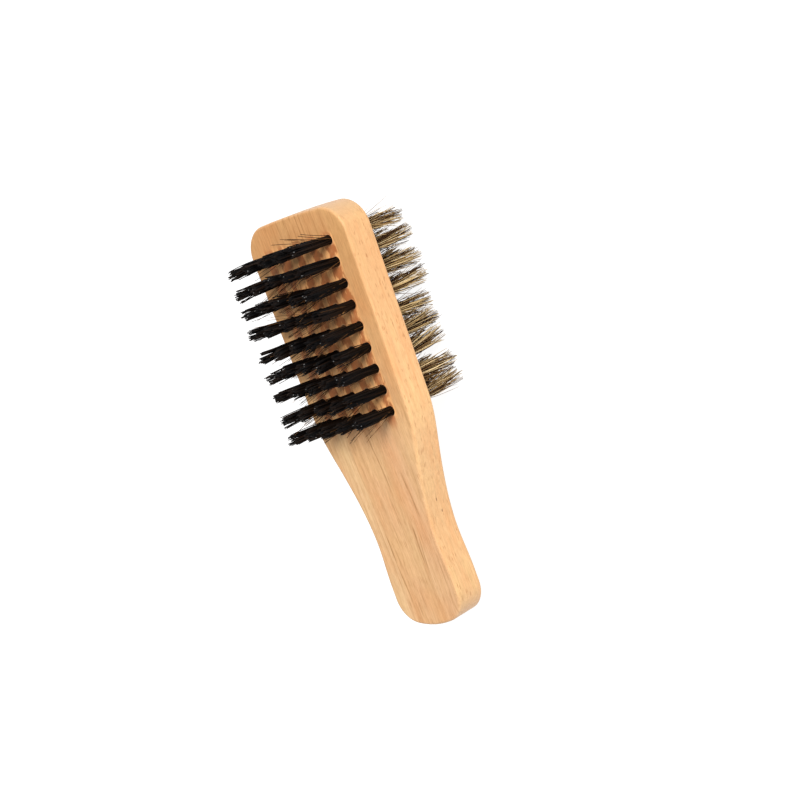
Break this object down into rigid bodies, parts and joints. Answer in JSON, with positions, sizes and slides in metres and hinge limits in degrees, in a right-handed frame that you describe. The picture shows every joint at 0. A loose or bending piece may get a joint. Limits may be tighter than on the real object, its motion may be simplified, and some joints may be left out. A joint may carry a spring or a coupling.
{
  "type": "beard brush",
  "caption": "Double-sided wooden beard brush: flat rounded head with tufts of stiff bristles on one face and soft bristles on the other, and a narrow waisted handle.",
  "frame": {"origin": "under the middle of the brush's length, on the surface that the tips of the soft bristles stand on", "axes": "+X across the width, +Y along the length towards the head's end, +Z the way the stiff bristles point"},
  "size_m": [0.0438, 0.13, 0.0481],
  "materials": {
    "body_wood": "pale beech, smooth sanded, thin satin oil",
    "stiff_bristle": "stiff black bristle, slight sheen",
    "soft_bristle": "natural hair, mixed dark brown, grey and cream",
    "anchor_wire": "drawn flat wire"
  },
  "bodies": {
    "root": {"brush_body": "body_wood", "stiff_tufts_row_1": "stiff_bristle", "stiff_tufts_row_2": "stiff_bristle", "stiff_tufts_row_3": "stiff_bristle", "stiff_tufts_row_4": "stiff_bristle", "stiff_tufts_row_5": "stiff_bristle", "stiff_tufts_row_6": "stiff_bristle", "stiff_tufts_row_7": "stiff_bristle", "stiff_tufts_row_8": "stiff_bristle", "stiff_tufts_row_9": "stiff_bristle", "soft_tufts_row_1": "soft_bristle", "soft_tufts_row_2": "soft_bristle", "soft_tufts_row_3": "soft_bristle", "soft_tufts_row_4": "soft_bristle", "soft_tufts_row_5": "soft_bristle", "soft_tufts_row_6": "soft_bristle", "soft_tufts_row_7": "soft_bristle", "soft_tufts_row_8": "soft_bristle", "soft_tufts_row_9": "soft_bristle", "stiff_anchors_row_1": "anchor_wire", "stiff_anchors_row_2": "anchor_wire", "stiff_anchors_row_3": "anchor_wire", "stiff_anchors_row_4": "anchor_wire", "stiff_anchors_row_5": "anchor_wire", "stiff_anchors_row_6": "anchor_wire", "stiff_anchors_row_7": "anchor_wire", "stiff_anchors_row_8": "anchor_wire", "stiff_anchors_row_9": "anchor_wire", "soft_anchors_row_1": "anchor_wire", "soft_anchors_row_2": "anchor_wire", "soft_anchors_row_3": "anchor_wire", "soft_anchors_row_4": "anchor_wire", "soft_anchors_row_5": "anchor_wire", "soft_anchors_row_6": "anchor_wire", "soft_anchors_row_7": "anchor_wire", "soft_anchors_row_8": "anchor_wire", "soft_anchors_row_9": "anchor_wire"}
  },
  "joints": []
}
